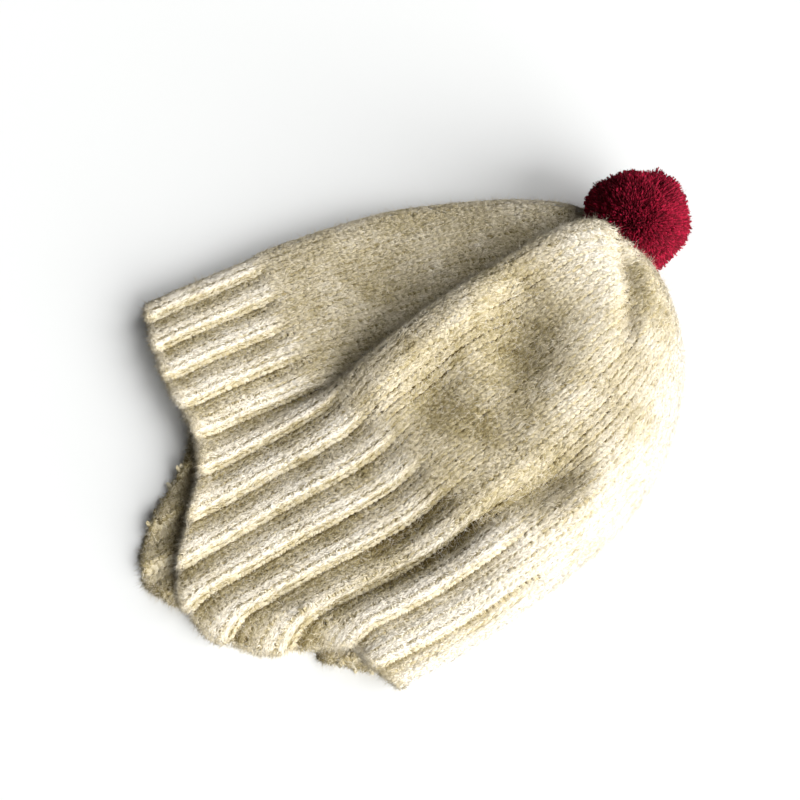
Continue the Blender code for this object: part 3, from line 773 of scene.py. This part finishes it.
def lay_nap(name, tree, at, seed, slant, spread, rise, long, thick, tone_and_painted_light, lattice=None):
    """Brushed fibres on their frames; those that would bridge a hole between stitches go."""
    random = np.random.default_rng(seed)
    count = len(at[0])
    place, ahead, up, swing = brush(at, seed + 1, slant, spread, rise)
    place = place + at[3] * random.uniform(-0.0006, 0.0003, (count, 1))
    size = np.column_stack([random.uniform(*span, count) for span in (long, thick, thick)])
    # The cloth's tone carries its painted light and shade.
    tone = 0.75 * tone_and_painted_light + 0.25 * random.uniform(0, 1, count)
    keep = np.ones(count, dtype=bool)
    if lattice is not None:
        reach = NAP_LENGTH * size[:, 0]
        for share in (0, 0.25, 0.5, 0.75, 1):
            u = lattice[0] + reach * share * np.sin(swing) / STITCH_WIDTH
            v = lattice[1] + reach * share * np.cos(swing) / STITCH_HEIGHT
            gap = np.hypot((u - np.round(u)) * STITCH_WIDTH, (v - np.round(v)) * STITCH_HEIGHT)
            keep &= gap > HOLE_RADIUS * random.uniform(0.3, 1.3, count)
    nap = from_points(name, tree, place[keep], ahead[keep], up[keep], size[keep], tone[keep],
                      at[3][keep])
    nap.visible_shadow = False
    return nap


def mostly_above(wale):
    """Full density on the upper layer and less on the layer that lies on the table."""
    return np.where(upper_layer(wale), 1.0, 0.35)


def off_the_lines(wale):
    """As above, and thinner in the deep line between ribs, where no brush reaches."""
    phase = np.mod((wale + FOOT_OFFSET) / RIB_WALES + 0.5, 1) - 0.5
    return mostly_above(wale) * (1 - 0.92 * np.exp(-((phase - 0.01) / 0.07) ** 2))


def mostly_below(wale):
    """Full density on the lower layer, whose inner face shows at the flap."""
    return np.where(upper_layer(wale), 0.25, 1.0)


def band_lattice(wale, stage):
    """Places counted in stitches on the band, with a hole at each whole number."""
    rows = band_rows[np.floor(np.mod(wale + FOOT_OFFSET, WALES)).astype(int) % WALES]
    return wale + FOOT_OFFSET, stage * (rows + 0.4) - 0.9


# The nap is a short felt along the wales, and the bloom a few long fibres that stand off it,
# both drawn thicker than real ones, to show. The rows give slant, its spread, rise and ranges
# of length and thickness. The counts keep a piece under 200,000 triangles.
NAP_LENGTH, NAP_LIFT, EDGE_CLEAR = 0.0030, 0.0002, 0.02
BAND_LIE = 0.15, 0.28, (0.10, 0.12), (0.6, 1.4), (0.6, 1.3)
INNER_LIE = 0.3, 0.5, (0.2, 0.2), (0.5, 1.2), (0.6, 1.3)
BLOOM_LIE = 0.6, 1.0, (0.6, 0.4), (0.5, 1.3), (0.6, 1.3)
NAP_COUNT, INNER_COUNT, RIM_COUNT = 48000, 16000, 22000
BLOOM_COUNT, RIM_BLOOM = 16000, 9000
# Tones of the bloom and the upper rim; the inner face and the lower layer's rim, which lie under
# the upper layer, get painted shade.
BLOOM_TONE, INNER_PAINTED_SHADE, UPPER_RIM_TONE, LOWER_RIM_PAINTED_SHADE = 0.9, 0.3, 0.5, -0.15
nap_tree = fibre_tree("short_nap", lambswool_nap, NAP_LENGTH, 0.00018, 0.0)
bloom_tree = fibre_tree("long_bloom", lambswool_nap, 0.0044, 0.00008, 0.0)
for number in range(2):
    wale, stage = scatter(NAP_COUNT, EDGE_CLEAR, 1, off_the_lines, 21 + number)
    band_nap = lay_nap(f"band_nap_{number + 1}", nap_tree, frames(wale, stage, NAP_LIFT),
                       24 + number, *BAND_LIE, tone_with_painted_light(wale, stage),
                       band_lattice(wale, stage))
    belongs(band_nap, "band_knit")
wale, stage = scatter(INNER_COUNT, EDGE_CLEAR, 0.6, mostly_below, 61)
spot = np.random.default_rng(62)
edge_wale, turn = spot.uniform(0, WALES, RIM_COUNT), spot.uniform(0, math.pi, RIM_COUNT)
# The lower layer's edge gets painted shade.
rim_tone_with_painted_shade = np.where(edge_wale < WALES / 2, UPPER_RIM_TONE, LOWER_RIM_PAINTED_SHADE)
inner_nap = lay_nap("band_nap_inner", nap_tree,
                    joined(frames(wale, stage, NAP_LIFT, -1),
                           rim_frames(edge_wale, turn, NAP_LIFT)),
                    63, *INNER_LIE, np.append(np.full(INNER_COUNT, INNER_PAINTED_SHADE), rim_tone_with_painted_shade))
belongs(inner_nap, "band_knit")
wale, stage = scatter(BLOOM_COUNT, EDGE_CLEAR, 1, mostly_above, 23)
edge_wale = spot.uniform(0, WALES, RIM_BLOOM)
turn = spot.uniform(0, math.pi, RIM_BLOOM)
band_bloom = lay_nap("band_bloom", bloom_tree,
                     joined(frames(wale, stage, 0.0), rim_frames(edge_wale, turn, 0.0)),
                     27, *BLOOM_LIE, np.full(BLOOM_COUNT + RIM_BLOOM, BLOOM_TONE))
belongs(band_bloom, "band_knit")

# Plain crown: the same yarn in plain knit, narrowed by decreases in twelve lines and drawn
# together at its end with the yarn's tail. Brushed more than the band, so the stitches blur.
ring_wales = np.arange(0, WALES, 1 / 2)
crown_rings = [skin(ring_wales, np.full_like(ring_wales, stage), GROUND_SINK)
               for stage in np.linspace(CROWN_FOOT, 2, 76)]
crown_rings += [skin(ring_wales, np.full_like(ring_wales, stage), 0.0, -1)
                for stage in np.linspace(2, CROWN_FOOT, 76)]
# The ground's dark colour is painted shade, for the holes between the stitches.
crown_ground = wall("crown_ground", crown_rings, lambswool_painted_shade)
belongs(crown_ground, "crown_knit", "crown")

# Each row has as many twelves of stitches as fit round it, and no more than the row before.
CROWN_PARTS = 12
crown_rows = int(round(crown_long.mean() / STITCH_HEIGHT))
crown_round = np.empty(crown_rows)
crown_stitches = []
parted = WALES
for row in range(crown_rows):
    stage = 1 + (row + 0.3) / crown_rows
    ring = read_cloth(cloth_place, np.arange(WALES) * 1.0, np.full(WALES, stage))
    around = np.linalg.norm(np.roll(ring, -1, axis=0) - ring, axis=1).sum()
    parted = min(parted, CROWN_PARTS * max(1, round(around / CROWN_PARTS / STITCH_WIDTH)))
    crown_round[row] = parted
    for number in range(parted if row < crown_rows - 1 else 0):
        wale = (number + 0.5) / parted * WALES - FOOT_OFFSET
        column = int(round(np.mod(wale, WALES) * PER_WALE)) % COLUMNS
        crown_stitches.append((wale, stage, WALES / parted, crown_long[column] / crown_rows))
wale, stage, spread, height = np.array(crown_stitches).T
width = np.linalg.norm(skin(wale + spread / 2, stage, 0.0) - skin(wale - spread / 2, stage, 0.0),
                       axis=1)
above = upper_layer(wale)
for name, part in (("crown_knit_upper", above), ("crown_knit_lower", ~above)):
    stitches = lay_stitches(name, knit_tree, frames(wale[part], stage[part], STITCH_SINK),
                            width[part], height[part], tone_with_painted_light(wale[part], stage[part]))
    belongs(stitches, "crown_knit")


def crown_lattice(wale, stage):
    """Places counted in stitches on the crown, with a hole at each whole number."""
    row = (stage - 1) * crown_rows - 0.3
    parted = crown_round[np.clip(np.floor(row).astype(int), 0, crown_rows - 1)]
    return (wale + FOOT_OFFSET) / WALES * parted, row - 0.3


CROWN_LIE = 0.2, 0.3, (0.10, 0.12), (0.6, 1.4), (0.6, 1.3)
BRUSHED_TO, CROWN_BLOOM = 1.985, 22000
for number in range(3):
    wale, stage = scatter(NAP_COUNT, 1, BRUSHED_TO, mostly_above, 31 + number)
    crown_nap = lay_nap(f"crown_nap_{number + 1}", nap_tree, frames(wale, stage, NAP_LIFT),
                        41 + number, *CROWN_LIE, tone_with_painted_light(wale, stage),
                        crown_lattice(wale, stage))
    belongs(crown_nap, "crown_knit")
wale, stage = scatter(CROWN_BLOOM, 1, BRUSHED_TO, mostly_above, 51)
crown_bloom = lay_nap("crown_bloom", bloom_tree, frames(wale, stage, 0.0), 52, *BLOOM_LIE,
                      np.full(CROWN_BLOOM, BLOOM_TONE))
belongs(crown_bloom, "crown_knit")

# Pompom: a thick bundle of crimson wool yarn, bound in the middle, cut and sheared round, and
# sewn on by its binding through the gathered end. The cut ends open into a dense pile.
POMPOM_SINK, POMPOM_PULL = 0.0095, (-0.0009, -0.0008, 0.0)
turn, dip = math.radians(33), math.radians(2)
pompom_axis = np.array((math.cos(turn) * math.cos(dip), math.sin(turn) * math.cos(dip),
                        -math.sin(dip)))
pompom_centre = cloth_place[-1, 0] + pompom_axis * (WALL / 2 + POMPOM_RADIUS - POMPOM_SINK)
pompom_centre += POMPOM_PULL
pompom_centre[2] = min(pompom_centre[2], POMPOM_RADIUS)
crown_mesh = crown_ground.data
crown_faces = BVHTree.FromPolygons([v.co for v in crown_mesh.vertices],
                                   [p.vertices for p in crown_mesh.polygons])

# A cleft where two bundles of the pile part, with the ways out of it, along it and across it.
CLEFT_DEPTH, CLEFT_WIDTH, CLEFT_LENGTH = 0.0110, 0.13, 0.30
CLEFT_OUT = unit(np.array((0.506, 0.027, 0.860)))
CLEFT_ALONG = unit(np.cross(np.cross(CLEFT_OUT, np.array((0.08, -1.06, -0.01))), CLEFT_OUT))
CLEFT_ACROSS = np.cross(CLEFT_ALONG, CLEFT_OUT)
# Where the shears left the pile long or took more of it: way, breadth and metres.
UNEVEN = (
    ((0.764, 0.514, 0.389), 0.12, 0.0034),
    ((0.896, 0.295, 0.333), 0.32, 0.0026),
    ((0.437, 0.795, 0.423), 0.38, -0.0016),
    ((0.660, 0.629, 0.410), 0.09, -0.0036),
)
# Shallow lumps all over: three waves, each with a direction and a start.
LUMPS = (((3.1, 5.2, 2.3), 0.4), ((-4.3, 2.2, 5.1), 1.9), ((5.4, -3.6, 4.4), 3.3))
LUMP_HEIGHT, CROWN_GAP = 0.0005, 0.0012


def pile_reach(ways):
    """How far the pile reaches each way: to its sheared size, the table or the crown's end."""
    reach = np.full(len(ways), POMPOM_RADIUS + 0.0003)
    lumps = sum(np.sin(ways @ np.array(wave) + start) for wave, start in LUMPS)
    reach -= LUMP_HEIGHT * (1.6 + lumps)
    across, along = ways @ CLEFT_ACROSS / CLEFT_WIDTH, ways @ CLEFT_ALONG / CLEFT_LENGTH
    facing = ways @ CLEFT_OUT > 0
    reach -= CLEFT_DEPTH * np.exp(-across ** 2 - along ** 2) * facing
    for way, breadth, longer in UNEVEN:
        off = np.linalg.norm(ways - unit(np.array(way)), axis=1)
        reach += longer * np.exp(-(off / breadth) ** 2)
    for number, way in enumerate(ways):
        if way[2] < 0:
            reach[number] = min(reach[number], -pompom_centre[2] / way[2])
        hit = crown_faces.ray_cast(Vector(pompom_centre), Vector(way))[3]
        if hit is not None:
            reach[number] = min(reach[number], hit - CROWN_GAP)
    return reach


def round_ways(count, seed):
    """Directions spread evenly over a ball, a little uneven."""
    number = np.arange(count) + 0.5
    high = 1 - 2 * number / count
    angle = number * math.pi * (1 + 5 ** 0.5)
    flat = np.sqrt(1 - high ** 2)
    ways = np.column_stack((np.cos(angle) * flat, np.sin(angle) * flat, high))
    return unit(ways + np.random.default_rng(seed).normal(0, 0.9 / count ** 0.5, ways.shape))


# Crimson wool, cut: matte ends with a slight sheen, over a core that is painted almost black, as
# painted shade between them.
crimson_shade_core = wool("crimson_painted_shade_core", "#1E0206", "#2A0309", "#3C050E", "#4C0812", 1.0, 0.0,
                    8, 1.0)
crimson_pile = wool("crimson_cut_pile", "#4A0512", "#680A1D", "#8C0D2A", "#B81A3E", 0.85, 0.12,
                    6, 1.2)
CORE_BELOW, CORE_LEAST = 0.0032, 0.004
# The core under the pile is painted almost black: painted shade between the cut ends.
bm = bmesh.new()
bmesh.ops.create_icosphere(bm, subdivisions=5, radius=1)
ways = np.array([unit(np.array(v.co)) for v in bm.verts])
reach = pile_reach(ways) - CORE_BELOW
for vertex, way, far in zip(bm.verts, ways, reach):
    vertex.co = pompom_centre + way * max(far, CORE_LEAST)
core_mesh = bpy.data.meshes.new("pompom_core")
bm.to_mesh(core_mesh)
bm.free()
core_mesh.shade_smooth()
core_mesh.materials.append(crimson_shade_core)
pompom_core = new_object("pompom_core", core_mesh)
belongs(pompom_core, "pompom_pile", "pompom")

CLUMPS_ROUND, CLUMP_HEIGHT = 11, 0.0016
YARN_END_COUNT, PILE_COUNT = 13000, 37000


def lay_pile(name, tree, count, seed, long, lean, thick, ragged):
    """Cut ends standing out of the core, their tips at the pompom's sheared surface."""
    random = np.random.default_rng(seed)
    ways = round_ways(count, seed + 1)
    clumps = np.array([noise.noise(Vector(way * CLUMPS_ROUND)) for way in ways])
    tips = pile_reach(ways) + CLUMP_HEIGHT * clumps + random.normal(0, ragged, count)
    roots = pompom_centre + ways * (tips - long)[:, None]
    ahead = unit(ways + random.normal(0, lean, ways.shape))
    up = unit(np.cross(ahead, random.normal(0, 1, ways.shape)))
    size = np.column_stack([random.uniform(*span, count) for span in ((0.85, 1.1), thick, thick)])
    return from_points(name, tree, roots, ahead, up, size, random.uniform(0, 1, count))


yarn_end_tree = fibre_tree("cut_yarn_end", crimson_pile, 0.0050, 0.00020, 0.00030)
pile_tree = fibre_tree("cut_pile", crimson_pile, 0.0052, 0.00013, 0.0)
yarn_ends = lay_pile("pompom_yarn_ends", yarn_end_tree, YARN_END_COUNT, 51, 0.0050, 0.10,
                     (0.7, 1.2), 0.0004)
belongs(yarn_ends, "pompom_pile")
pile = lay_pile("pompom_pile", pile_tree, PILE_COUNT, 53, 0.0048, 0.25, (0.6, 1.3), 0.0006)
belongs(pile, "pompom_pile")

# Table: pale matt paper under the hat, which takes its soft shadow. It reaches far past the
# picture, so that its edge shows only from low down.
bm = bmesh.new()
bmesh.ops.create_grid(bm, x_segments=1, y_segments=1, size=30)
table_mesh = bpy.data.meshes.new("table")
bm.to_mesh(table_mesh)
bm.free()
table = new_object("table", table_mesh)
paper = bpy.data.materials.new("pale_paper")
paper.use_nodes = True
paper_finish = paper.node_tree.nodes["Principled BSDF"].inputs
paper_finish["Base Color"].default_value = linear("#F6F7F6")
paper_finish["Roughness"].default_value = 0.9
table_mesh.materials.append(paper)

# Light: a broad low lamp from the lower right of the picture, a second one higher up on its
# right, and a faint white surround.
world = bpy.data.worlds.new("studio")
world.use_nodes = True
surround = world.node_tree.nodes["Background"].inputs
surround["Color"].default_value = (1, 1, 1, 1)
surround["Strength"].default_value = 0.07
bpy.context.scene.world = world
for name, energy, towards in (("key", 4.7, (0.22, -0.90, 0.375)),
                              ("fill", 2.4, (0.637, -0.463, 0.616))):
    lamp = bpy.data.lights.new(name, "SUN")
    lamp.energy = energy
    lamp.angle = math.radians(45)
    aim = Vector(towards).normalized()
    new_object(name, lamp).rotation_euler = aim.to_track_quat("Z", "Y").to_euler()
bpy.context.scene.view_settings.view_transform = "Standard"

# Camera: a 60 mm lens half a metre above the table, looking down at 65 degrees and turned by
# 31 degrees, as the photograph was taken.
elevation, azimuth = math.radians(65), math.radians(-31)
back = Vector((math.sin(azimuth) * math.cos(elevation), -math.cos(azimuth) * math.cos(elevation),
               math.sin(elevation)))
right = Vector((math.cos(azimuth), math.sin(azimuth), 0))
lens = bpy.data.cameras.new("camera")
lens.lens = 60
lens.sensor_width = 36
camera = new_object("camera", lens)
matrix = Matrix((right, back.cross(right), back)).transposed().to_4x4()
matrix.translation = Vector((-0.0543 - ORIGIN_X, -0.1997, 0.5174))
camera.matrix_world = matrix
bpy.context.scene.camera = camera

bpy.context.view_layer.update()
